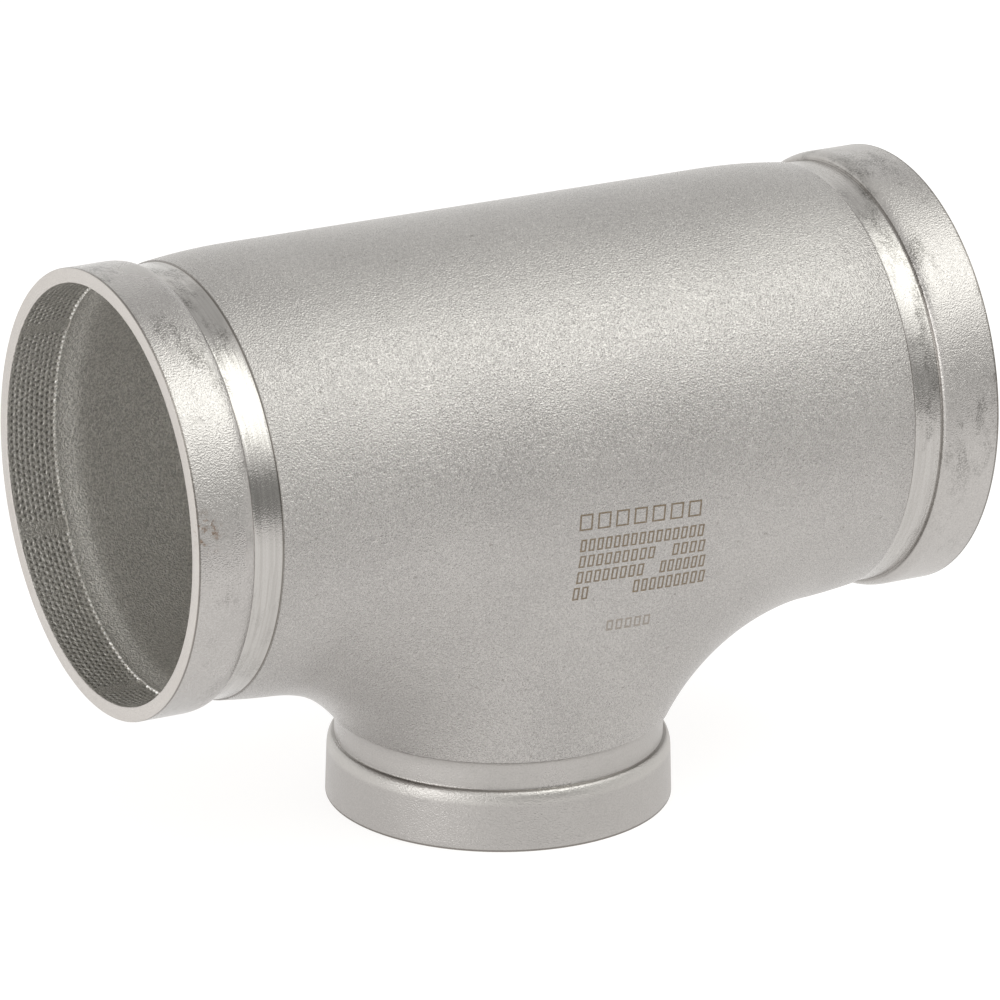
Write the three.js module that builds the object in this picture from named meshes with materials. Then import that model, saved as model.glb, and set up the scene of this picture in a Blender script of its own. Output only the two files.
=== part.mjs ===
// Grooved reducing tee, cold formed from stainless steel pipe.
//
// A straight run of pipe has a smaller branch drawn out of the middle of its wall. Behind each of
// the three mouths a groove is rolled into the pipe. The strip between the groove and the mouth is
// the gasket seat. A pipe coupling closes over it and keys into the groove.
//
// The steel is one piece. It is modelled in four zones, which meet on the plane of the crease at the
// body side of each groove: the body, the two ends of the run, and the end of the branch.
//
// Units are millimetres and Z is up. The origin is the centre of the branch's end face, which the
// tee stands on. The run lies along X.

import * as THREE from 'three';
import { mergeVertices } from 'three/addons/utils/BufferGeometryUtils.js';

// Pipe sizes and overall lengths.
const RUN_DIAMETER = 114.3;
const BRANCH_DIAMETER = 88.9;
const WALL = 3.8;
const RUN_CENTRE_TO_END = 113.7;
const BRANCH_CENTRE_TO_END = 98.8;

// Rolled grooves. The seat is measured from the mouth to the groove.
const SEAT_LENGTH = 15.9;
const GROOVE_WIDTH = 8.2;
const RUN_GROOVE_DIAMETER = 110.1;
const BRANCH_GROOVE_DIAMETER = 84.9;
const BRANCH_LIP_FLARE = 0.35;

// The seat rounds down into its groove over this length, and ends in a short upright foot.
const SHOULDER_LENGTH = 3.9;
const SHOULDER_FOOT = 0.6;
const SHOULDER_STEPS = 4;
const EDGE_BREAK = 0.25;

// The groove's floor curves up into a crisp crease where the body begins.
const CREASE_RISE = 3.2;
const CREASE_STEPS = 3;

// The rolled groove pushes a low bead into the bore, which fades out under the seat. The rolls thin
// the wall a little there.
const GROOVE_WALL = 3.3;
const BEAD_START = SEAT_LENGTH - 2.2;
const BEAD_CREST_START = SEAT_LENGTH + 4.4;
const BEAD_CREST_END = SEAT_LENGTH + 5.4;
const BEAD_STEPS = 4;

// The run narrows a little as it nears each groove.
const RUN_TAPER = 1.5;
const TAPER_START = 68;

// The neck leaves the branch's groove and opens into the run with a wide smooth crotch. It leans
// outward most along the run and stands upright across it. The crotch ends where a ball rolled
// round the corner would touch the run, and the ball is far larger at the front and back.
const NECK_RADIUS = 44.2;
const NECK_LEAN = THREE.MathUtils.degToRad(39);
const LEAN_FADE = 1.7;
const CROTCH_BALL = { along: 33.5, across: 280 };
const NECK_PULL = { along: 0.62, across: 0.43 };
const RUN_PULL = { along: 0.12, across: 0.19 };
const PULL_FADE = 1.65;

// Facets. A quarter of the branch and half of the run have the same number of them, so that the
// body's rows of points meet all four sides of the run's lower half.
const SIDE_STEPS = 18;
const RUN_SEGMENTS = 2 * SIDE_STEPS;
const BRANCH_SEGMENTS = 4 * SIDE_STEPS;
const NECK_STEPS = 8;
const APRON_STEPS = 3;

// Dimensions that follow.
const RUN_RADIUS = RUN_DIAMETER / 2;
const BRANCH_RADIUS = BRANCH_DIAMETER / 2;
const END_LENGTH = SEAT_LENGTH + GROOVE_WIDTH;
const BODY_HALF_LENGTH = RUN_CENTRE_TO_END - END_LENGTH;
const NECK_DROP = BRANCH_CENTRE_TO_END - END_LENGTH;
const RUN_CREASE_RADIUS = RUN_RADIUS - RUN_TAPER;

// Blasted steel on the body, and steel burnished by the rolls on the ends.
const blastedSteel = () =>
  new THREE.MeshStandardMaterial({ color: 0xaba69f, roughness: 0.5, metalness: 1 });
const rolledSteel = () =>
  new THREE.MeshStandardMaterial({ color: 0xb9b5ae, roughness: 0.32, metalness: 1 });

// One rolled end, turned about the pipe's axis. Y is the depth from the mouth.
function rolledEnd({ mouthRadius, seatRadius, grooveRadius, creaseRadius, segments }) {
  const profile = [];
  const add = (radius, depth) => profile.push(new THREE.Vector2(radius, depth));

  add(mouthRadius - EDGE_BREAK, 0);
  add(mouthRadius, EDGE_BREAK);

  const footRadius = grooveRadius + SHOULDER_FOOT;
  for (let step = 0; step <= SHOULDER_STEPS; step += 1) {
    const turn = (step / SHOULDER_STEPS) * (Math.PI / 2);
    add(
      footRadius + (seatRadius - footRadius) * Math.cos(turn),
      SEAT_LENGTH - SHOULDER_LENGTH * (1 - Math.sin(turn)),
    );
  }

  add(grooveRadius, SEAT_LENGTH + EDGE_BREAK);
  for (let step = 0; step <= CREASE_STEPS; step += 1) {
    const turn = (step / CREASE_STEPS) * (Math.PI / 2);
    add(
      grooveRadius + (creaseRadius - grooveRadius) * (1 - Math.cos(turn)),
      END_LENGTH - CREASE_RISE * (1 - Math.sin(turn)),
    );
  }

  add(creaseRadius - WALL, END_LENGTH);
  const crestRadius = grooveRadius - GROOVE_WALL;
  const boreRadius = seatRadius - WALL;
  add(crestRadius, BEAD_CREST_END);
  for (let step = 0; step <= BEAD_STEPS; step += 1) {
    const along = step / BEAD_STEPS;
    add(
      THREE.MathUtils.lerp(crestRadius, boreRadius, THREE.MathUtils.smoothstep(along, 0, 1)),
      THREE.MathUtils.lerp(BEAD_CREST_START, BEAD_START, along),
    );
  }
  add(mouthRadius - WALL, EDGE_BREAK);
  add(mouthRadius - WALL + EDGE_BREAK, 0);
  profile.push(profile[0].clone());
  return new THREE.LatheGeometry(profile, segments);
}

const runEnd = () =>
  rolledEnd({
    mouthRadius: RUN_RADIUS,
    seatRadius: RUN_RADIUS,
    grooveRadius: RUN_GROOVE_DIAMETER / 2,
    creaseRadius: RUN_CREASE_RADIUS,
    segments: RUN_SEGMENTS,
  });

const branchEnd = () =>
  rolledEnd({
    mouthRadius: BRANCH_RADIUS + BRANCH_LIP_FLARE,
    seatRadius: BRANCH_RADIUS,
    grooveRadius: BRANCH_GROOVE_DIAMETER / 2,
    creaseRadius: NECK_RADIUS,
    segments: BRANCH_SEGMENTS,
  });

// The run's outer radius at a distance x from its middle, and how fast it changes there.
function runRadius(x) {
  const past = Math.max(0, Math.abs(x) - TAPER_START) / (BODY_HALF_LENGTH - TAPER_START);
  return RUN_RADIUS - RUN_TAPER * past * past;
}

function runSlope(x) {
  const length = BODY_HALF_LENGTH - TAPER_START;
  const past = Math.max(0, Math.abs(x) - TAPER_START) / length;
  return (-2 * RUN_TAPER * past * Math.sign(x)) / length;
}

// A point on the run. The angle is 0 at the bottom and turns towards +Y. Inset is the depth below
// the outer face: 0 outside, the wall's thickness on the bore.
function runPoint(x, angle, inset) {
  const radius = runRadius(x) - inset;
  return new THREE.Vector3(x, radius * Math.sin(angle), -radius * Math.cos(angle));
}

// The line on which the crotch runs out into the run, at one step round the branch, with the run's
// outward direction there.
function crotchRim(step, inset) {
  const turn = (step / BRANCH_SEGMENTS) * 2 * Math.PI;
  const [cos, sin] = [Math.cos(turn), Math.sin(turn)];
  const ball = 1 / (cos ** 2 / CROTCH_BALL.along + sin ** 2 / CROTCH_BALL.across);
  const x = (NECK_RADIUS + ball) * cos;
  const angle = Math.asin(((NECK_RADIUS + ball) * sin) / (runRadius(x) + ball));
  const point = runPoint(x, angle, inset);
  const slope = -(runRadius(x) - inset) * runSlope(x);
  return { x, angle, point, outward: new THREE.Vector3(slope, point.y, point.z).normalize() };
}

// The neck's line from the branch's crease to the crotch's rim, at one step round the branch.
function neckLine(step, inset) {
  const turn = (step / BRANCH_SEGMENTS) * 2 * Math.PI;
  const [cos, sin] = [Math.cos(turn), Math.sin(turn)];
  const lean = NECK_LEAN * Math.abs(cos) ** LEAN_FADE;
  const along = Math.abs(cos) ** PULL_FADE;
  const radius = NECK_RADIUS - inset;
  const foot = new THREE.Vector3(radius * cos, radius * sin, -NECK_DROP);
  const rise = new THREE.Vector3(cos * Math.sin(lean), sin * Math.sin(lean), Math.cos(lean));

  const { point: rim, outward } = crotchRim(step, inset);
  const run = rim.clone().sub(foot).projectOnPlane(outward).normalize();

  const span = foot.distanceTo(rim);
  const neckPull = span * THREE.MathUtils.lerp(NECK_PULL.across, NECK_PULL.along, along);
  const runPull = span * THREE.MathUtils.lerp(RUN_PULL.across, RUN_PULL.along, along);
  return new THREE.CubicBezierCurve3(
    foot,
    foot.clone().addScaledVector(rise, neckPull),
    rim.clone().addScaledVector(run, -runPull),
    rim,
  );
}

// The edge of the run's lower half, unrolled: a rectangle with SIDE_STEPS steps on each side.
function lowerEdge(step) {
  const shifted = (step + SIDE_STEPS / 2 + BRANCH_SEGMENTS) % BRANCH_SEGMENTS;
  const side = Math.floor(shifted / SIDE_STEPS);
  const sweep = 2 * ((shifted % SIDE_STEPS) / SIDE_STEPS) - 1;
  const quarter = Math.PI / 2;
  return [
    { x: BODY_HALF_LENGTH, angle: sweep * quarter },
    { x: -sweep * BODY_HALF_LENGTH, angle: quarter },
    { x: -BODY_HALF_LENGTH, angle: -sweep * quarter },
    { x: sweep * BODY_HALF_LENGTH, angle: -quarter },
  ][side];
}

// The body: the run's middle, the crotch and the neck, as a wall of even thickness.
function teeBody() {
  const corners = [];
  const addTriangle = (a, b, c) => corners.push(...a.toArray(), ...b.toArray(), ...c.toArray());
  const addPatch = (columns, rows, pointAt, flip) => {
    for (let column = 0; column < columns; column += 1) {
      for (let row = 0; row < rows; row += 1) {
        const a = pointAt(column, row);
        const b = pointAt(column + 1, row);
        const c = pointAt(column + 1, row + 1);
        const d = pointAt(column, row + 1);
        if (flip) {
          addTriangle(a, c, b);
          addTriangle(a, d, c);
        } else {
          addTriangle(a, b, c);
          addTriangle(a, c, d);
        }
      }
    }
  };

  for (const inset of [0, WALL]) {
    const inside = inset > 0;
    const neck = (step, row) => neckLine(step, inset).getPoint(row / NECK_STEPS);
    const apron = (step, row) => {
      const rim = crotchRim(step, inset);
      const edge = lowerEdge(step);
      const t = row / APRON_STEPS;
      const x = THREE.MathUtils.lerp(rim.x, edge.x, t);
      return runPoint(x, THREE.MathUtils.lerp(rim.angle, edge.angle, t), inset);
    };
    const roof = (column, row) =>
      runPoint(
        BODY_HALF_LENGTH * ((2 * column) / SIDE_STEPS - 1),
        Math.PI * (0.5 + row / SIDE_STEPS),
        inset,
      );
    addPatch(BRANCH_SEGMENTS, NECK_STEPS, neck, inside);
    addPatch(BRANCH_SEGMENTS, APRON_STEPS, apron, inside);
    addPatch(SIDE_STEPS, SIDE_STEPS, roof, !inside);
  }

  // The three flat faces on which the ends meet the body.
  const neckFace = (step, row) => neckLine(step, row * WALL).getPoint(0);
  addPatch(BRANCH_SEGMENTS, 1, neckFace, true);
  for (const side of [-1, 1]) {
    const runFace = (step, row) =>
      runPoint(side * BODY_HALF_LENGTH, (step / RUN_SEGMENTS) * 2 * Math.PI, row * WALL);
    addPatch(RUN_SEGMENTS, 1, runFace, side < 0);
  }

  const geometry = new THREE.BufferGeometry();
  geometry.setAttribute('position', new THREE.Float32BufferAttribute(corners, 3));
  const merged = mergeVertices(geometry, 1e-3);
  merged.computeVertexNormals();
  return merged;
}

function namedMesh(name, geometry, material) {
  const mesh = new THREE.Mesh(geometry, material);
  mesh.name = name;
  return mesh;
}

const body = namedMesh('tee_body', teeBody(), blastedSteel());
const leftEnd = namedMesh('run_end_left', runEnd(), rolledSteel());
const rightEnd = namedMesh('run_end_right', runEnd(), rolledSteel());
const branch = namedMesh('branch_end', branchEnd(), rolledSteel());

leftEnd.position.x = -RUN_CENTRE_TO_END;
leftEnd.rotation.z = -Math.PI / 2;
rightEnd.position.x = RUN_CENTRE_TO_END;
rightEnd.rotation.z = Math.PI / 2;
branch.rotation.x = Math.PI / 2;

const run = new THREE.Group();
run.position.z = BRANCH_CENTRE_TO_END;
run.add(body, leftEnd, rightEnd);

const tee = new THREE.Group();
tee.add(run, branch);

export default tee;
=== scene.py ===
"""Looks of a roll-grooved reducing tee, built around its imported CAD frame.

The steel is one forming in four zones: the body and three rolled ends. Each zone gets a fine mesh in
place of its faceted CAD node. The shapes are worked out from the frame's boxes and the dimensions below.
Lengths are in metres, along the frame's axes: +X along the run, +Z up along the branch.
"""

import math

import bmesh
import bpy
import numpy as np
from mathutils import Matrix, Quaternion, Vector


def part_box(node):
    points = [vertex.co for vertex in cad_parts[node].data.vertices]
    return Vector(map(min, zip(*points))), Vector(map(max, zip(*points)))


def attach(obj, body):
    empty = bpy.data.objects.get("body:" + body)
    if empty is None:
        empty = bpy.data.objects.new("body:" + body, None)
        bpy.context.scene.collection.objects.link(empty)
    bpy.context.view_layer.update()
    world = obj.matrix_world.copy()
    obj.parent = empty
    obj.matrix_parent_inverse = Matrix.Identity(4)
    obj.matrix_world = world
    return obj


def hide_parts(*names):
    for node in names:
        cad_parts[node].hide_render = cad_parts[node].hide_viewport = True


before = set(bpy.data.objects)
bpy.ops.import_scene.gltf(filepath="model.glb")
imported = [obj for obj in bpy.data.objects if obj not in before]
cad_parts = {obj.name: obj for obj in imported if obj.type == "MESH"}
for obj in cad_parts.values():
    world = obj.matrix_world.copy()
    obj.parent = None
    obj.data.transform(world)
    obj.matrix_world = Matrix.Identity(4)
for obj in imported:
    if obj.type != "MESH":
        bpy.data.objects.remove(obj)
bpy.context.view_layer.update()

MM = 0.001

# Overall sizes, from the frame.
BODY_LOW, BODY_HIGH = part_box("tee_body")
RIGHT_LOW, RIGHT_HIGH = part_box("run_end_right")
RUN_HALF = RIGHT_HIGH[0]
RUN_RADIUS = RIGHT_HIGH[1]
RUN_Z = (RIGHT_LOW[2] + RIGHT_HIGH[2]) / 2
END_LENGTH = RIGHT_HIGH[0] - RIGHT_LOW[0]
BODY_HALF = BODY_HIGH[0]
NECK_DROP = RUN_Z - BODY_LOW[2]
BRANCH_MOUTH_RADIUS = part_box("branch_end")[1][0]

# The steel, its seats and grooves.
WALL = 3.8 * MM
SEAT_LENGTH = 15.9 * MM
BRANCH_SEAT_RADIUS = 44.45 * MM
RUN_GROOVE_RADIUS = 55.05 * MM
BRANCH_GROOVE_RADIUS = 42.45 * MM
RUN_TAPER = 1.5 * MM
TAPER_START = 68 * MM
CREASE_RADIUS = RUN_RADIUS - RUN_TAPER

# The neck, and the crotch where it opens into the run. The neck's line leans outward most along the run,
# and each fade is the power of the cosine by which a value dies away towards the front and back. The pulls
# are the lengths of the line's two handles over its span: (across the run, along it).
NECK_RADIUS = 44.2 * MM
NECK_LEAN = math.radians(39)
LEAN_FADE = 1.7
CROTCH_BALL_ALONG = 33.5 * MM
CROTCH_BALL_ACROSS = 280 * MM
NECK_PULL = (0.43, 0.62)
RUN_PULL = (0.19, 0.12)
PULL_FADE = 1.65

# Rolled ends. Depths run from the end face.
EDGE_ROUND = 0.3 * MM
SHOULDER_LENGTH = 3.9 * MM
SHOULDER_FOOT = 0.6 * MM
FOOT_FILLET = 0.12 * MM
FOOT_FILLET_DEPTH = SEAT_LENGTH + 0.04 * MM
FLOOR_START = SEAT_LENGTH + 0.2 * MM
CREASE_RISE = 3.2 * MM
CREASE_STEP = 0.2 * MM
GROOVE_WALL = 3.3 * MM
BEAD_START = SEAT_LENGTH - 2.2 * MM
BEAD_CREST_START = SEAT_LENGTH + 4.4 * MM
BEAD_CREST_END = SEAT_LENGTH + 5.4 * MM

# The knurl that the drive roll prints inside each mouth: rows of dimples, then a toothed line at the bead.
# A dimple's fill over 1 gives it a flat floor. The roll skips at the breaks, and prints unevenly.
KNURL_PITCH = 1.84 * MM
KNURL_ROW = 1.4 * MM
KNURL_START = 1.6 * MM
KNURL_END = BEAD_START - 0.3 * MM
KNURL_DEPTH = 0.28 * MM
KNURL_RADIUS = 0.55 * MM
KNURL_FILL = 1.15
KNURL_UNEVENNESS = 0.15
MOUTH_LAND = 0.7 * MM
TOOTH_LAND = 0.12 * MM
TOOTH_STEP = 0.5 * MM
TOOTH_REACH = 0.75 * MM
BREAK_ANGLES = [math.radians(degrees) for degrees in (56, 118, 177, 239, 301, 359)]
BREAK_HALF_WIDTH = 1.7 * MM
BREAK_FADE = 0.8 * MM

# Mesh fineness. The side steps go a quarter of the way round the branch, and half of the way round the run.
SIDE_STEPS = 72
NECK_STEPS = 44
APRON_STEPS = 22
OUTER_COLUMNS = 288
KNURL_SAMPLES = 6
EDGE_POINTS = 5
SEAT_POINTS = 8
SHOULDER_POINTS = 15
FLOOR_POINTS = 9
CREASE_POINTS = 7
BEAD_BACK_POINTS = 5
BEAD_FRONT_POINTS = 11
WELD_DISTANCE = 0.002 * MM
BODY_SHARP_ANGLE = math.radians(40)
END_SHARP_ANGLE = math.radians(50)


# ---------------------------------------------------------------- mesh helpers


def mesh_object(name, vertices, faces):
    """A new object, smooth shaded, from plain lists."""
    mesh = bpy.data.meshes.new(name)
    mesh.from_pydata(vertices, [], faces)
    mesh.validate()
    mesh.shade_smooth()
    piece = bpy.data.objects.new(name, mesh)
    bpy.context.collection.objects.link(piece)
    return piece


def mark_points(piece, **values_by_name):
    """Numbers on the vertices, for the materials to read."""
    for label, values in values_by_name.items():
        attribute = piece.data.attributes.new(label, "FLOAT", "POINT")
        attribute.data.foreach_set("value", np.array(values, dtype=np.float32))


def smoothstep(value):
    """0 to 1 with a soft start and end."""
    value = np.clip(value, 0.0, 1.0)
    return value * value * (3 - 2 * value)


# ---------------------------------------------------------------- the body


def run_radius(x):
    """The run's outer radius: straight in the middle, with a taper towards each groove."""
    past = np.maximum(0, np.abs(x) - TAPER_START) / (BODY_HALF - TAPER_START)
    return RUN_RADIUS - RUN_TAPER * past**2


def run_slope(x):
    """How fast the run's radius changes along it."""
    length = BODY_HALF - TAPER_START
    past = np.maximum(0, np.abs(x) - TAPER_START) / length
    return -2 * RUN_TAPER * past * np.sign(x) / length


def run_points(x, angle, inset):
    """Points on the run, round its own axis. The angle is 0 at the bottom and turns towards +Y."""
    radius = run_radius(x) - inset
    return np.stack([x, radius * np.sin(angle), -radius * np.cos(angle)], axis=-1)


def branch_turns():
    """The angles at which the body's mesh goes round the branch, from +X towards +Y."""
    return np.arange(4 * SIDE_STEPS + 1) / (4 * SIDE_STEPS) * 2 * math.pi


def crotch_rim(turn):
    """Where a ball that rolls in the corner of neck and run touches the run: (along it, angle round it)."""
    cos, sin = np.cos(turn), np.sin(turn)
    ball = 1 / (cos**2 / CROTCH_BALL_ALONG + sin**2 / CROTCH_BALL_ACROSS)
    x = (NECK_RADIUS + ball) * cos
    return x, np.arcsin((NECK_RADIUS + ball) * sin / (run_radius(x) + ball))


def neck_patch(inset):
    """The neck and crotch: one Bezier line from crease to rim at each step round the branch."""
    turn = branch_turns()
    cos, sin = np.cos(turn), np.sin(turn)
    lean = NECK_LEAN * np.abs(cos) ** LEAN_FADE
    along = np.abs(cos) ** PULL_FADE
    radius = NECK_RADIUS - inset
    foot = np.stack([radius * cos, radius * sin, np.full_like(cos, -NECK_DROP)], axis=-1)
    rise = np.stack([cos * np.sin(lean), sin * np.sin(lean), np.cos(lean)], axis=-1)

    x, angle = crotch_rim(turn)
    rim = run_points(x, angle, inset)
    chord = rim - foot
    normal = np.stack([-(run_radius(x) - inset) * run_slope(x), rim[:, 1], rim[:, 2]], axis=-1)
    normal /= np.linalg.norm(normal, axis=-1, keepdims=True)
    run = chord - (chord * normal).sum(axis=-1, keepdims=True) * normal
    run /= np.linalg.norm(run, axis=-1, keepdims=True)

    span = np.linalg.norm(chord, axis=-1)
    neck_pull = span * (NECK_PULL[0] + (NECK_PULL[1] - NECK_PULL[0]) * along)
    run_pull = span * (RUN_PULL[0] + (RUN_PULL[1] - RUN_PULL[0]) * along)
    second = foot + rise * neck_pull[:, None]
    third = rim - run * run_pull[:, None]
    t = (np.arange(NECK_STEPS + 1) / NECK_STEPS)[None, :, None]
    return (
        (1 - t) ** 3 * foot[:, None]
        + 3 * (1 - t) ** 2 * t * second[:, None]
        + 3 * (1 - t) * t**2 * third[:, None]
        + t**3 * rim[:, None]
    )


def lower_edge():
    """The edge of the run's lower half, unrolled: a rectangle walked once round."""
    step = np.arange(4 * SIDE_STEPS + 1)
    shifted = (step + SIDE_STEPS // 2) % (4 * SIDE_STEPS)
    side = shifted // SIDE_STEPS
    sweep = 2 * (shifted % SIDE_STEPS) / SIDE_STEPS - 1
    one = np.ones_like(sweep)
    quarter = math.pi / 2
    x = np.choose(side, [one, -sweep, -one, sweep]) * BODY_HALF
    angle = np.choose(side, [sweep, one, -sweep, -one]) * quarter
    return x, angle


def apron_patch(inset):
    """The run's lower half, from the crotch's rim out to its edge."""
    rim_x, rim_angle = crotch_rim(branch_turns())
    edge_x, edge_angle = lower_edge()
    t = np.arange(APRON_STEPS + 1) / APRON_STEPS
    x = rim_x[:, None] + (edge_x - rim_x)[:, None] * t
    angle = rim_angle[:, None] + (edge_angle - rim_angle)[:, None] * t
    return run_points(x, angle, inset)


def roof_patch(inset):
    """The run's upper half."""
    x = BODY_HALF * (2 * np.arange(SIDE_STEPS + 1) / SIDE_STEPS - 1)
    angle = math.pi * (0.5 + np.arange(SIDE_STEPS + 1) / SIDE_STEPS)
    return run_points(*np.meshgrid(x, angle, indexing="ij"), inset)


def make_body():
    """The body: neck, apron and roof, outside and inside, closed by a ring at each of its three rims."""
    vertices, faces, sides = [], [], []

    def add_patch(points, flip, inside):
        """Quads on a grid of points. inside is 1 on the bore and 0 outside, or one value for each row."""
        columns, rows = points.shape[:2]
        first = len(vertices)
        sides.extend(np.broadcast_to(np.array(inside, dtype=float), (columns, rows)).ravel().tolist())
        lifted = points.reshape(-1, 3) + [0, 0, RUN_Z]
        vertices.extend(lifted.tolist())
        index = first + np.arange(columns * rows).reshape(columns, rows)
        quads = np.stack([index[:-1, :-1], index[1:, :-1], index[1:, 1:], index[:-1, 1:]], axis=-1)
        if flip:
            quads = quads[..., ::-1]
        faces.extend(quads.reshape(-1, 4).tolist())

    shells = []
    for inset in (0, WALL):
        inside = inset > 0
        neck, roof = neck_patch(inset), roof_patch(inset)
        add_patch(neck, inside, inside)
        add_patch(apron_patch(inset), inside, inside)
        add_patch(roof, not inside, inside)
        shells.append(neck)
    add_patch(np.stack([shells[0][:, 0], shells[1][:, 0]], axis=1), True, (0, 1))

    angle = np.arange(2 * SIDE_STEPS + 1) / SIDE_STEPS * math.pi
    for side in (-1, 1):
        x = np.full_like(angle, side * BODY_HALF)
        rings = [run_points(x, angle, inset) for inset in (0, WALL)]
        add_patch(np.stack(rings, axis=1), side < 0, (0, 1))

    piece = mesh_object("tee_body_forming", vertices, faces)
    mark_points(piece, inside=sides)
    weld = bmesh.new()
    weld.from_mesh(piece.data)
    bmesh.ops.remove_doubles(weld, verts=weld.verts, dist=WELD_DISTANCE)
    for edge in weld.edges:
        edge.smooth = edge.calc_face_angle(0) < BODY_SHARP_ANGLE
    weld.to_mesh(piece.data)
    weld.free()
    return piece


# ---------------------------------------------------------------- the rolled ends


def outer_profile(mouth, seat, groove, crease):
    """(radius, depth) pairs on the outside, from the end face to the crease."""
    points = []
    for turn in np.linspace(0, math.pi / 2, EDGE_POINTS):
        radius = mouth - EDGE_ROUND * (1 - math.sin(turn))
        points.append((radius, EDGE_ROUND * (1 - math.cos(turn))))
    seat_end = SEAT_LENGTH - SHOULDER_LENGTH
    for t in np.linspace(0, 1, SEAT_POINTS)[1:-1]:
        points.append((mouth + (seat - mouth) * t, EDGE_ROUND + (seat_end - EDGE_ROUND) * t))
    foot = groove + SHOULDER_FOOT
    for turn in np.linspace(0, math.pi / 2, SHOULDER_POINTS):
        depth = SEAT_LENGTH - SHOULDER_LENGTH * (1 - math.sin(turn))
        points.append((foot + (seat - foot) * math.cos(turn), depth))
    points.append((groove + FOOT_FILLET, FOOT_FILLET_DEPTH))
    points.append((groove, FLOOR_START))
    rise_start = END_LENGTH - CREASE_RISE
    for t in np.linspace(0, 1, FLOOR_POINTS)[1:]:
        points.append((groove, FLOOR_START + (rise_start - FLOOR_START) * t))
    top = crease - CREASE_STEP
    for turn in np.linspace(0, math.pi / 2, CREASE_POINTS)[1:]:
        radius = groove + (top - groove) * (1 - math.cos(turn))
        points.append((radius, rise_start + CREASE_RISE * math.sin(turn)))
    return points


def inner_profile(mouth, seat, groove, crease):
    """(radius, depth) pairs on the bore, from the crease back to the end face."""
    crest, bore, lip = groove - GROOVE_WALL, seat - WALL, mouth - WALL
    points = [(crease - WALL, END_LENGTH)]
    for t in np.linspace(0, 1, BEAD_BACK_POINTS)[1:]:
        depth = END_LENGTH + (BEAD_CREST_END - END_LENGTH) * t
        points.append((crease - WALL + (crest - crease + WALL) * float(smoothstep(t)), depth))
    points.append((crest, BEAD_CREST_START))
    bead_foot = bore - TOOTH_STEP
    for t in np.linspace(0, 1, BEAD_FRONT_POINTS)[1:]:
        depth = BEAD_CREST_START + (BEAD_START - BEAD_CREST_START) * t
        points.append((crest + (bead_foot - crest) * float(smoothstep(t)), depth))
    points.append((bore, BEAD_START - TOOTH_LAND))
    rings = int(round((BEAD_START - KNURL_START) / KNURL_ROW)) * KNURL_SAMPLES
    for t in np.linspace(0, 1, rings + 1)[1:]:
        points.append((bore + (lip - bore) * t, KNURL_END + (MOUTH_LAND - KNURL_END) * t))
    for turn in np.linspace(0, math.pi / 2, EDGE_POINTS):
        points.append((lip + EDGE_ROUND * (1 - math.cos(turn)), EDGE_ROUND * (1 - math.sin(turn))))
    return points


def knurl_strength(turn, bore):
    """How deep the knurl is printed at each angle round the mouth, from 0 to 1: waves, and the breaks."""
    strength = 1 - KNURL_UNEVENNESS + KNURL_UNEVENNESS * np.sin(3 * turn + 0.7) * np.sin(7 * turn)
    for centre in BREAK_ANGLES:
        away = np.abs((turn - centre + math.pi) % (2 * math.pi) - math.pi) * bore
        strength = strength * smoothstep((away - BREAK_HALF_WIDTH) / BREAK_FADE)
    return strength


def knurl_dimples(arc, depth, strength):
    """Where the knurl's dimples are, from 0 to 1. They stand in rows, each shifted half a pitch."""
    row = np.round((depth - KNURL_START) / KNURL_ROW)
    across = arc - 0.5 * np.mod(row, 2)
    across = (across - np.round(across)) * KNURL_PITCH
    down = (depth - KNURL_START) - row * KNURL_ROW
    near = KNURL_FILL - (across**2 + down**2) / KNURL_RADIUS**2
    printed = (depth > KNURL_START - 0.5 * KNURL_ROW) & (depth < KNURL_END)
    return strength * np.clip(near, 0, 1) * printed


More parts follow.
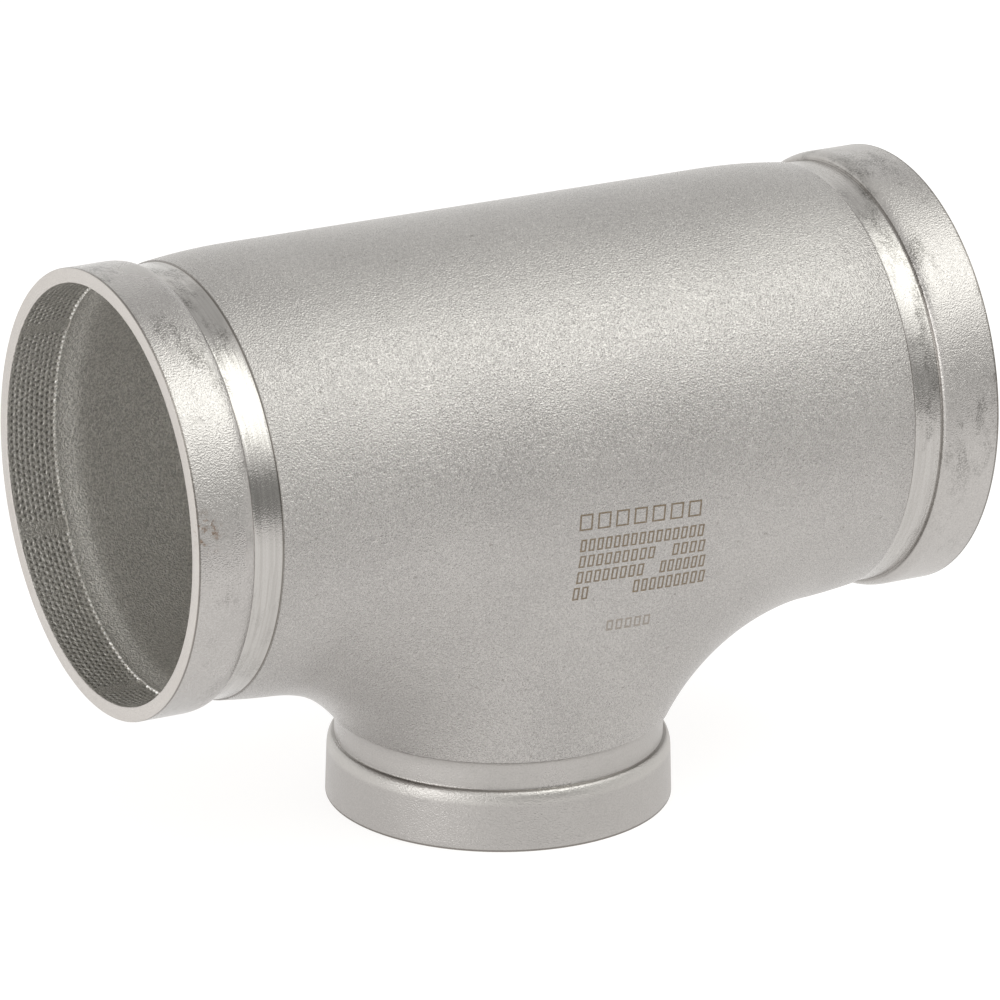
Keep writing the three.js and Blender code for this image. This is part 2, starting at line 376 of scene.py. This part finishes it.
def make_end(name, mouth, seat, groove, crease, place):
    """One rolled end. mouth, seat, groove and crease are its outer radii at each of these.

    place turns a depth and two offsets from the pipe's axis into the frame's coordinates.
    """
    bore = seat - WALL
    pitches = int(round(2 * math.pi * bore / KNURL_PITCH))
    ratio = max(1, round(pitches * KNURL_SAMPLES / OUTER_COLUMNS))
    inner_columns = OUTER_COLUMNS * ratio
    vertices, faces = [], []
    marks = {"depth_mm": [], "inside": [], "pit": [], "tooth": []}

    def add_ring(radius, depth, columns, inside, pit=0.0, tooth=0.0):
        """A ring of vertices, with what the materials read from them. It returns their numbers."""
        turn = np.arange(columns) / columns * 2 * math.pi
        depth = np.broadcast_to(depth, turn.shape)
        points = place(depth, radius * np.sin(turn), radius * np.cos(turn))
        first = len(vertices)
        vertices.extend(points.tolist())
        for label, value in (("depth_mm", depth / MM), ("inside", inside), ("pit", pit), ("tooth", tooth)):
            marks[label].extend(np.broadcast_to(value, turn.shape).tolist())
        return first + np.arange(columns)

    def join(rings):
        """Quads between each two neighbouring rings of the same count."""
        for low, high in zip(rings, rings[1:]):
            quads = np.stack([low, np.roll(low, -1), np.roll(high, -1), high], axis=-1)
            faces.extend(quads.tolist())

    outer = [add_ring(r, d, OUTER_COLUMNS, 0.0) for r, d in outer_profile(mouth, seat, groove, crease)]
    join(outer)

    turn = np.arange(inner_columns) / inner_columns * 2 * math.pi
    arc = turn / (2 * math.pi) * pitches
    strength = knurl_strength(turn, bore)
    zigzag = np.abs(((arc % 1) - 0.5) * 2) * strength
    inner = []
    for radius, depth in inner_profile(mouth, seat, groove, crease):
        pit = knurl_dimples(arc, np.full_like(arc, depth), strength)
        tooth = zigzag * (abs(depth - BEAD_START) < 1.1 * TOOTH_LAND)
        deep = depth - TOOTH_REACH * tooth
        inner.append(add_ring(radius + KNURL_DEPTH * pit, deep, inner_columns, 1.0, pit, tooth))
    join(inner)

    # The end face and the hidden face at the crease: flat, with more columns inside than outside.
    for outside, inside, facing in ((outer[0], inner[-1], True), (outer[-1], inner[0], False)):
        for column in range(OUTER_COLUMNS):
            after = (column + 1) % OUTER_COLUMNS
            fine = [(column * ratio + step) % inner_columns for step in range(ratio + 1)]
            loop = [int(outside[column]), *[int(inside[step]) for step in fine], int(outside[after])]
            faces.append(loop[::-1] if facing else loop)

    piece = mesh_object(name, vertices, faces)
    mark_points(piece, **marks)
    shape = bmesh.new()
    shape.from_mesh(piece.data)
    bmesh.ops.recalc_face_normals(shape, faces=shape.faces)
    for edge in shape.edges:
        edge.smooth = edge.calc_face_angle(0) < END_SHARP_ANGLE
    shape.to_mesh(piece.data)
    shape.free()
    return piece


def run_place(side):
    """How a run end's ring lies: side is -1 at the left mouth and 1 at the right one."""

    def place(depth, across, up):
        return np.stack([side * (RUN_HALF - depth), across, RUN_Z + up], axis=-1)

    return place


def branch_place(depth, across, up):
    """How a ring of the branch's end lies."""
    return np.stack([across, up, depth], axis=-1)


# ---------------------------------------------------------------- materials


class Nodes:
    """Writes a material, or the world given as owner, as plain expressions."""

    def __init__(self, name, owner=None):
        self.owner = owner or bpy.data.materials.new(name)
        self.owner.use_nodes = True
        self.tree = self.owner.node_tree
        self.shader = self.tree.nodes["Principled BSDF" if owner is None else "Background"]

    def add(self, kind, inputs=None, output=0, **settings):
        """A new node's output. Each input is linked if it is a socket, and set if it is a value."""
        node = self.tree.nodes.new(kind)
        for key, value in settings.items():
            setattr(node, key, value)
        for key, value in (inputs or {}).items():
            if isinstance(value, bpy.types.NodeSocket):
                self.tree.links.new(value, node.inputs[key])
            else:
                node.inputs[key].default_value = value
        return node.outputs[output]

    def math(self, operation, first, second=0.0):
        return self.add("ShaderNodeMath", {0: first, 1: second}, operation=operation)

    def times(self, first, second):
        return self.math("MULTIPLY", first, second)

    def most(self, first, second):
        return self.math("MAXIMUM", first, second)

    def blend(self, first, second, share):
        """A weighted sum: share of the first, and the rest of the second."""
        return self.math("ADD", self.times(first, share), self.times(second, 1 - share))

    def below(self, value, limit):
        return self.math("LESS_THAN", value, limit)

    def remap(self, value, low, high, to_low, to_high):
        names = {"Value": value, "From Min": low, "From Max": high, "To Min": to_low, "To Max": to_high}
        return self.add("ShaderNodeMapRange", names, interpolation_type="SMOOTHSTEP")

    def band(self, value, low, high, soft):
        """1 between low and high, fading out over soft at each side."""
        rise = self.remap(value, low - soft, low + soft, 0.0, 1.0)
        return self.times(rise, self.remap(value, high - soft, high + soft, 1.0, 0.0))

    def mix(self, factor, first, second):
        return self.add("ShaderNodeMix", {0: factor, 6: first, 7: second}, output=2, data_type="RGBA")

    def noise(self, place, scale, detail=2.0, roughness=0.5):
        names = {"Vector": place, "Scale": scale, "Detail": detail, "Roughness": roughness}
        return self.add("ShaderNodeTexNoise", names)

    def coordinates(self):
        """Each point's own place on its piece, in metres."""
        return self.add("ShaderNodeTexCoord", output=3)

    def attribute(self, label):
        return self.add("ShaderNodeAttribute", output=2, attribute_name=label)

    def split(self, vector):
        node = self.tree.nodes.new("ShaderNodeSeparateXYZ")
        self.tree.links.new(vector, node.inputs[0])
        return node.outputs

    def bump(self, height, strength, distance, normal=None):
        inputs = {"Height": height, "Strength": strength, "Distance": distance}
        if normal is not None:
            inputs["Normal"] = normal
        return self.add("ShaderNodeBump", inputs)

    def feed(self, **sockets):
        """Sets or links the shader's sockets, and returns the material or world."""
        for label, value in sockets.items():
            socket = self.shader.inputs[label.replace("_", " ")]
            if isinstance(value, bpy.types.NodeSocket):
                self.tree.links.new(value, socket)
            else:
                socket.default_value = value
        return self.owner


STEEL_LIGHT = (0.487, 0.467, 0.45, 1)
STEEL_DARK = (0.388, 0.372, 0.36, 1)
SEAT_LIGHT = (0.505, 0.484, 0.467, 1)
SEAT_DARK = (0.41, 0.393, 0.379, 1)
BURNISHED = (0.50, 0.482, 0.462, 1)
STREAK = (0.33, 0.315, 0.298, 1)
# A painted highlight for the branch's shoulder.
PAINTED_SHOULDER_HIGHLIGHT = (0.62, 0.60, 0.57, 1)
CUT_FACE = (0.61, 0.577, 0.547, 1)
INNER_LIGHT = (0.655, 0.637, 0.60, 1)
INNER_DARK = (0.43, 0.416, 0.393, 1)
WORN_SEAT = (0.17, 0.162, 0.152, 1)
PIT_BROWN = (0.16, 0.145, 0.125, 1)
# Darker in the knurl's dimples.
KNURL_DIMPLE_DARK = (0.17, 0.162, 0.148, 1)
# A painted glint on the teeth of the toothed line.
PAINTED_TOOTH_GLINT = (0.98, 0.97, 0.94, 1)
# Painted shade in the rolled ends' creases, at the shoulder's foot and at the mouth's edge.
PAINTED_CREASE_SHADE = (0.10, 0.085, 0.07, 1)
ETCH_BROWN = (0.17, 0.125, 0.075, 1)
STAIN_BROWN = (0.20, 0.12, 0.065, 1)
FLOOR_DARK = (0.24, 0.24, 0.24, 1)
FLOOR_LIGHT = (0.26, 0.26, 0.26, 1)
FLOOR_GLOW = (1, 0.99, 0.98, 1)
FLOOR_GLOW_STRENGTH = 0.82
CARD_DARK = (0.07, 0.07, 0.068, 1)
CARD_LIGHT = (0.09, 0.09, 0.086, 1)
CARD_GLOW = (1, 1, 0.98, 1)
CARD_GLOW_STRENGTH = 0.21

KNURL_ROUGHNESS = 0.42
BORE_ROUGHNESS = 0.6

# Noise scales. A scale of 1000 gives features of about a millimetre.
BLAST_GRAIN = 2300
BLAST_DENTS = 900
BLAST_SHEEN = 3600
BLAST_PITS = 700
BLAST_CLOUD = 30
BODY_WAVE = 11
BORE_MOTTLE = 1500
ROLL_GRAIN = 2400
ROLL_SMEAR = 60
ROLL_CLOUD = 34
STAIN_EDGE = 420

# The smear is squeezed along the run. The rings run round the groove: their scale is for depths in mm, and
# they wander with the cloud.
SMEAR_SQUEEZE = (2.0, 1.0, 1.0)
RING_SCALE = 1.1
RING_WANDER = 3.0

# How deep each texture is in the steel, at full strength.
WAVE_DEPTH = 1.2 * MM
DENT_DEPTH = 0.05 * MM
MOTTLE_DEPTH = 0.25 * MM
BLAST_DEPTH = 0.33 * MM
ROLL_DEPTH = 0.19 * MM
SMEAR_DEPTH = 0.05 * MM
RING_DEPTH = 0.15 * MM

# Depths in mm, as the rolled ends' meshes carry them.
SEAT_MM = SEAT_LENGTH / MM
END_MM = END_LENGTH / MM

# The brown stain on the left lip.
STAIN_PLACE = (-RUN_HALF + 2 * MM, -56.6 * MM, RUN_Z + 8 * MM)
STAIN_CORE = 0.5 * MM
STAIN_REACH = 7 * MM

# The marking's rows on the front of the body, in mm: the row's middle and height, measured round the run
# from its mid line, then where it starts and stops along the run, its blocks' pitch, and its strength.
# A block fills MARK_FILL of its pitch and is drawn as an outline. The rows rise to the left.
MARK_LINE = 0.5
MARK_TILT = -0.048
MARK_FILL = 0.72
MARK_ROWS = (
    (-7.0, 4.6, -8.0, 28.4, 5.2, 0.9),
    (-13.7, 3.7, -7.1, 29.2, 2.42, 0.9),
    (-18.6, 3.7, -6.7, 15.8, 2.5, 0.9),
    (-18.6, 3.7, 20.3, 30.3, 2.5, 0.9),
    (-23.5, 3.7, -6.6, 13.4, 2.5, 0.9),
    (-23.5, 3.7, 17.5, 31.2, 2.28, 0.9),
    (-28.3, 3.7, -6.9, -1.9, 2.5, 0.9),
    (-28.3, 3.7, 10.5, 32.0, 2.4, 0.9),
    (-38.2, 2.6, 4.4, 17.4, 2.7, 0.5),
)


def marking_mask(n, place, outside):
    """Rows of small outlined blocks, where a maker's marking would be etched: on the outer wall only."""
    x, y, z = n.split(place)[:3]
    angle = n.math("ARCTAN2", n.math("SUBTRACT", z, RUN_Z), n.times(y, -1.0))
    along = n.math("DIVIDE", x, MM)
    height = n.times(angle, RUN_RADIUS / MM)
    height = n.math("SUBTRACT", height, n.times(along, MARK_TILT))
    total = None
    for centre, tall, start, stop, pitch, strength in MARK_ROWS:
        off_row = n.math("ABSOLUTE", n.math("SUBTRACT", height, centre))
        cell = n.math("FRACT", n.math("DIVIDE", n.math("SUBTRACT", along, start), pitch))
        off_cell = n.math("ABSOLUTE", n.math("SUBTRACT", cell, MARK_FILL / 2))
        block = n.times(n.below(off_row, tall / 2), n.below(off_cell, MARK_FILL / 2))
        core_cell = n.below(off_cell, MARK_FILL / 2 - MARK_LINE / pitch)
        core = n.times(n.below(off_row, tall / 2 - MARK_LINE), core_cell)
        extent = n.times(n.below(start, along), n.below(along, stop))
        row = n.times(n.times(n.math("SUBTRACT", block, core), extent), strength)
        total = row if total is None else n.most(total, row)
    return n.times(total, n.times(n.below(y, 0.0), outside))


def inner_wall(n, place, grain):
    """The bore's own finish, rough and mottled: its colour, and the height of its dents."""
    mottle = n.noise(place, BORE_MOTTLE, 2, 0.6)
    tone = n.blend(mottle, grain, 0.6)
    return n.mix(n.remap(tone, 0.38, 0.62, 0.0, 1.0), INNER_DARK, INNER_LIGHT), mottle


def blasted_steel():
    """Bead-blasted stainless: an even satin grain, a few pits, and an etched marking on the front."""
    n = Nodes("blasted_stainless")
    place = n.coordinates()
    inside = n.attribute("inside")
    outside = n.math("SUBTRACT", 1.0, inside)
    grain = n.noise(place, BLAST_GRAIN, 1.5, 0.6)
    dents = n.noise(place, BLAST_DENTS, 2, 0.5)
    cloud = n.noise(place, BLAST_CLOUD, 3, 0.5)
    wave = n.noise(place, BODY_WAVE, 2, 0.5)

    tone = n.blend(grain, cloud, 0.75)
    colour = n.mix(n.remap(tone, 0.38, 0.62, 0.0, 1.0), STEEL_DARK, STEEL_LIGHT)
    inner, mottle = inner_wall(n, place, grain)
    colour = n.mix(inside, colour, inner)
    pits = n.remap(n.noise(place, BLAST_PITS, 1, 0.3), 0.75, 0.79, 0.0, 0.35)
    colour = n.mix(n.times(pits, outside), colour, PIT_BROWN)
    mark = n.times(marking_mask(n, place, outside), n.remap(grain, 0.3, 0.6, 0.7, 1.0))
    colour = n.mix(mark, colour, ETCH_BROWN)

    rough = n.remap(n.math("ADD", n.times(cloud, 0.5), wave), 0.5, 1.0, 0.26, 0.35)
    sheen = n.remap(n.noise(place, BLAST_SHEEN, 1, 0.5), 0.35, 0.65, -0.1, 0.1)
    rough = n.most(n.math("ADD", rough, sheen), n.times(inside, BORE_ROUGHNESS))

    shape = n.bump(wave, 0.6, WAVE_DEPTH)
    shape = n.bump(dents, 0.5, DENT_DEPTH, shape)
    shape = n.bump(n.times(mottle, inside), 1.0, MOTTLE_DEPTH, shape)
    shape = n.bump(grain, 1.0, BLAST_DEPTH, shape)
    return n.feed(Base_Color=colour, Metallic=1.0, Roughness=rough, Normal=shape)


def painted_shade_lines(n, depth):
    """Painted shade: dark lines round a rolled end, at the crease, at the shoulder's foot and at the mouth's
    edge.
    """
    crease = n.band(depth, END_MM - 0.4, END_MM - 0.05, 0.12)
    foot = n.times(n.band(depth, SEAT_MM + 0.02, SEAT_MM + 0.28, 0.1), 0.7)
    edge = n.times(n.band(depth, 0.1, 0.6, 0.08), 0.8)
    return n.times(n.most(n.most(crease, foot), edge), 0.8)


def stain_mask(n, place, centre):
    """A ragged spot round one place."""
    away = n.add("ShaderNodeVectorMath", {0: place, 1: centre}, output=1, operation="DISTANCE")
    ragged = n.remap(n.noise(place, STAIN_EDGE, 4, 0.7), 0.5, 0.62, 0.0, 0.9)
    return n.times(n.remap(away, STAIN_CORE, STAIN_REACH, 1.0, 0.0), ragged)


def rolled_steel(name, wear, satin, polish, darker_seat_and_painted_highlight=0.0, stain=None):
    """Steel burnished by the grooving rolls: glossy groove, satin seat, rough bore, pale cut end face.

    wear is how dark the worn patches are, satin the seat's roughness, polish how glossy the groove is
    (0 to 1), and shade makes the seat darker and smoother, and paints a highlight on its shoulder.
    """
    n = Nodes(name)
    place = n.coordinates()
    depth = n.attribute("depth_mm")
    inside = n.attribute("inside")
    outside = n.math("SUBTRACT", 1.0, inside)
    floor = n.times(outside, n.remap(depth, SEAT_MM - 0.8, SEAT_MM, 0.0, 1.0))
    shoulder = n.times(n.band(depth, SEAT_MM - 3.2, SEAT_MM - 0.4, 0.7), outside)
    face = n.remap(depth, 0.12, 0.35, 1.0, 0.0)

    grain = n.noise(place, ROLL_GRAIN, 1.5, 0.6)
    cloud = n.noise(place, ROLL_CLOUD, 3, 0.5)
    stretched = n.add("ShaderNodeVectorMath", {0: place, 1: SMEAR_SQUEEZE}, operation="MULTIPLY")
    smear = n.noise(stretched, ROLL_SMEAR, 4, 0.65)
    ring_place = n.add("ShaderNodeCombineXYZ", {0: depth, 1: n.times(cloud, RING_WANDER)})
    ring = n.noise(ring_place, RING_SCALE, 3, 0.6)

    tone = n.blend(grain, cloud, 0.6)
    colour = n.mix(n.remap(tone, 0.34, 0.66, 0.0, 1.0), SEAT_DARK, SEAT_LIGHT)
    colour = n.mix(darker_seat_and_painted_highlight, colour, SEAT_DARK)
    # A painted highlight on the shoulder, weighted by shade.
    colour = n.mix(n.times(shoulder, darker_seat_and_painted_highlight), colour, PAINTED_SHOULDER_HIGHLIGHT)
    colour = n.mix(n.times(floor, polish), colour, BURNISHED)
    streak = n.times(n.remap(ring, 0.40, 0.62, 0.0, polish / 2), floor)
    colour = n.mix(streak, colour, STREAK)
    worn = n.times(n.remap(smear, 0.50, 0.68, 0.0, 1.0), n.remap(grain, 0.40, 0.62, 1.0, 0.1))
    upper = n.remap(n.split(place)[2], RUN_Z - 0.3 * RUN_RADIUS, RUN_Z, 0.35 * wear, wear)
    colour = n.mix(n.times(n.times(worn, upper), outside), colour, WORN_SEAT)
    inner, mottle = inner_wall(n, place, grain)
    colour = n.mix(inside, colour, inner)
    # Darker in the knurl's dimples, most where they are deepest.
    colour = n.mix(n.remap(n.attribute("pit"), 0.25, 0.8, 0.0, 0.8), colour, KNURL_DIMPLE_DARK)
    # A painted glint, near white, along the teeth of the toothed line at the bead.
    colour = n.mix(n.remap(n.attribute("tooth"), 0.3, 0.6, 0.0, 1.0), colour, PAINTED_TOOTH_GLINT)
    cut = n.mix(n.remap(grain, 0.35, 0.65, 0.0, 0.25), CUT_FACE, SEAT_DARK)
    colour = n.mix(face, colour, cut)
    # Painted shade along the crease, the shoulder's foot and the mouth's edge, on the outside only.
    colour = n.mix(n.times(painted_shade_lines(n, depth), outside), colour, PAINTED_CREASE_SHADE)
    if stain is not None:
        colour = n.mix(n.times(stain_mask(n, place, stain), outside), colour, STAIN_BROWN)

    rough = n.remap(cloud, 0.38, 0.62, satin - 0.08, satin + 0.08)
    rough = n.math("ADD", rough, n.times(floor, -polish / 6))
    rough = n.math("ADD", rough, n.times(shoulder, 0.04))
    rough = n.math("ADD", rough, n.times(face, 0.15))
    bore = n.remap(depth, BEAD_START / MM - 1, BEAD_START / MM + 1, KNURL_ROUGHNESS, BORE_ROUGHNESS)
    rough = n.most(rough, n.times(inside, bore))

    shape = n.bump(smear, n.times(outside, 0.5), SMEAR_DEPTH)
    shape = n.bump(n.times(mottle, inside), 1.0, MOTTLE_DEPTH, shape)
    fine = n.times(grain, n.remap(floor, 0.0, 1.0, 1.0, 1.0 - polish))
    shape = n.bump(fine, 1.0 - 0.4 * darker_seat_and_painted_highlight, ROLL_DEPTH, shape)
    shape = n.bump(n.times(ring, floor), polish, RING_DEPTH, shape)
    return n.feed(Base_Color=colour, Metallic=1.0, Roughness=rough, Normal=shape)


def floor_material():
    """Pale, with a glow of its own, so that it reads as a plain white sweep."""
    n = Nodes("studio_floor")
    colour = n.mix(n.noise(n.coordinates(), 3, 2), FLOOR_DARK, FLOOR_LIGHT)
    n.feed(Base_Color=colour, Roughness=0.9)
    return n.feed(Emission_Color=FLOOR_GLOW, Emission_Strength=FLOOR_GLOW_STRENGTH)


def card_material():
    """Dark grey, with a little glow of its own."""
    n = Nodes("studio_dark_card")
    colour = n.mix(n.noise(n.coordinates(), 9, 2), CARD_DARK, CARD_LIGHT)
    n.feed(Base_Color=colour, Roughness=0.8)
    return n.feed(Emission_Color=CARD_GLOW, Emission_Strength=CARD_GLOW_STRENGTH)


# ---------------------------------------------------------------- the object


def place_piece(piece, node, material):
    """Gives a piece its material, and puts it on the tee's body in place of its CAD node."""
    piece.data.materials.append(material)
    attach(piece, "root")
    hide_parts(node)


place_piece(make_body(), "tee_body", blasted_steel())

RUN_END = (RUN_RADIUS, RUN_RADIUS, RUN_GROOVE_RADIUS, CREASE_RADIUS)
BRANCH_END = (BRANCH_MOUTH_RADIUS, BRANCH_SEAT_RADIUS, BRANCH_GROOVE_RADIUS, NECK_RADIUS)
left_steel = rolled_steel("rolled_stainless_left", wear=0.9, satin=0.27, polish=0.72, stain=STAIN_PLACE)
right_steel = rolled_steel("rolled_stainless_right", wear=0.9, satin=0.27, polish=0.48)
# The branch's seat is darker, with a painted highlight on its shoulder.
branch_steel = rolled_steel("rolled_stainless_branch", wear=0.1, satin=0.36, polish=0.12, darker_seat_and_painted_highlight=0.4)

for node, radii, place, steel in (
    ("run_end_left", RUN_END, run_place(-1), left_steel),
    ("run_end_right", RUN_END, run_place(1), right_steel),
    ("branch_end", BRANCH_END, branch_place, branch_steel),
):
    place_piece(make_end(node + "_forming", *radii, place), node, steel)

# ---------------------------------------------------------------- the studio

FLOOR_HALF = 8.0
FLOOR_DROP = -0.05 * MM
TEE_MIDDLE = (0, 0, RUN_Z)

# The dark card stands on the floor in front of the tee. The camera sees through it, and the steel shows it.
CARD_Y = -0.9
CARD_LEFT, CARD_RIGHT = -1.0, 2.2
CARD_LOW, CARD_HIGH = 0.002, 0.45

# The white tent, and the greyer stretch of it overhead, from angle to angle above the horizon in front.
TENT_STRENGTH = 1.05
TENT_COLOUR = (1.0, 1.0, 0.985, 1)
OVERHEAD_START, OVERHEAD_STOP = 92, 138
OVERHEAD_SOFTNESS = 8
OVERHEAD_GREY = 0.37
OVERHEAD_FADE = (0.8, 0.95)


def stage_panel(name, corners, material):
    """A flat panel of the studio."""
    panel = mesh_object(name, corners, [(0, 1, 2, 3)])
    panel.data.materials.append(material)
    return panel


def look_at(thing, target):
    """Turns a lamp or camera to face a point."""
    thing.rotation_mode = "QUATERNION"
    away = Vector(thing.location) - Vector(target)
    thing.rotation_quaternion = away.to_track_quat("Z", "Y")


def softbox(name, direction, distance, width, height, power, colour):
    """An area light that faces the tee and isn't seen itself."""
    data = bpy.data.lights.new(name, "AREA")
    data.shape = "RECTANGLE"
    data.size, data.size_y = width, height
    data.energy = power
    data.color = colour
    lamp = bpy.data.objects.new(name, data)
    bpy.context.collection.objects.link(lamp)
    unit = np.array(direction) / np.linalg.norm(direction)
    lamp.location = np.array(TEE_MIDDLE) + unit * distance
    look_at(lamp, TEE_MIDDLE)
    lamp.visible_camera = False


def studio_world():
    """A white tent, with a greyer stretch overhead that runs along the tee behind the key light."""
    world = bpy.data.worlds.new("studio")
    bpy.context.scene.world = world
    n = Nodes("studio", world)
    x, y, z = n.split(n.add("ShaderNodeTexCoord", output=0))[:3]
    angle = n.math("DEGREES", n.math("ARCTAN2", z, n.times(y, -1.0)))
    stretch = n.band(angle, OVERHEAD_START, OVERHEAD_STOP, OVERHEAD_SOFTNESS)
    middle = n.remap(n.math("ABSOLUTE", x), *OVERHEAD_FADE, OVERHEAD_GREY, 0.0)
    strength = n.math("SUBTRACT", TENT_STRENGTH, n.times(stretch, middle))
    n.feed(Color=TENT_COLOUR, Strength=strength)


floor_sides = ((-1, -1), (1, -1), (1, 1), (-1, 1))
floor_corners = [(x * FLOOR_HALF, y * FLOOR_HALF, FLOOR_DROP) for x, y in floor_sides]
stage_panel("studio_floor", floor_corners, floor_material())

softbox(
    "key",
    direction=(0.40, -0.434, 0.782),
    distance=1.2,
    width=1.6,
    height=0.80,
    power=6.6,
    colour=(0.975, 1.0, 0.955),
)
softbox(
    "left",
    direction=(-0.92, -0.30, 0.25),
    distance=1.5,
    width=0.8,
    height=0.8,
    power=4.5,
    colour=(1, 1, 1),
)

card_sides = ((CARD_LEFT, CARD_LOW), (CARD_RIGHT, CARD_LOW), (CARD_RIGHT, CARD_HIGH), (CARD_LEFT, CARD_HIGH))
card_corners = [(x, CARD_Y, z) for x, z in card_sides]
card = stage_panel("studio_dark_card", card_corners, card_material())
card.visible_camera = False

studio_world()

# ---------------------------------------------------------------- the camera

AIM = (0.0, 0.0, 0.0789)
CAMERA_TURN = math.radians(-28.37)
CAMERA_RISE = math.radians(19.77)
CAMERA_DISTANCE = 2.0415
CAMERA_ROLL = math.radians(0.38)
SENSOR_MM = 36
LENS_MM = 287.6
CLIP_NEAR, CLIP_FAR = 0.05, 50

lens = bpy.data.cameras.new("camera")
lens.sensor_width = SENSOR_MM
lens.lens = LENS_MM
lens.clip_start, lens.clip_end = CLIP_NEAR, CLIP_FAR
camera = bpy.data.objects.new("camera", lens)
bpy.context.collection.objects.link(camera)
back = (
    math.sin(CAMERA_TURN) * math.cos(CAMERA_RISE),
    -math.cos(CAMERA_TURN) * math.cos(CAMERA_RISE),
    math.sin(CAMERA_RISE),
)
camera.location = [start + CAMERA_DISTANCE * step for start, step in zip(AIM, back)]
look_at(camera, AIM)
camera.rotation_quaternion = camera.rotation_quaternion @ Quaternion((0, 0, 1), CAMERA_ROLL)
bpy.context.scene.camera = camera
bpy.context.scene.view_settings.view_transform = "Standard"
bpy.context.view_layer.update()
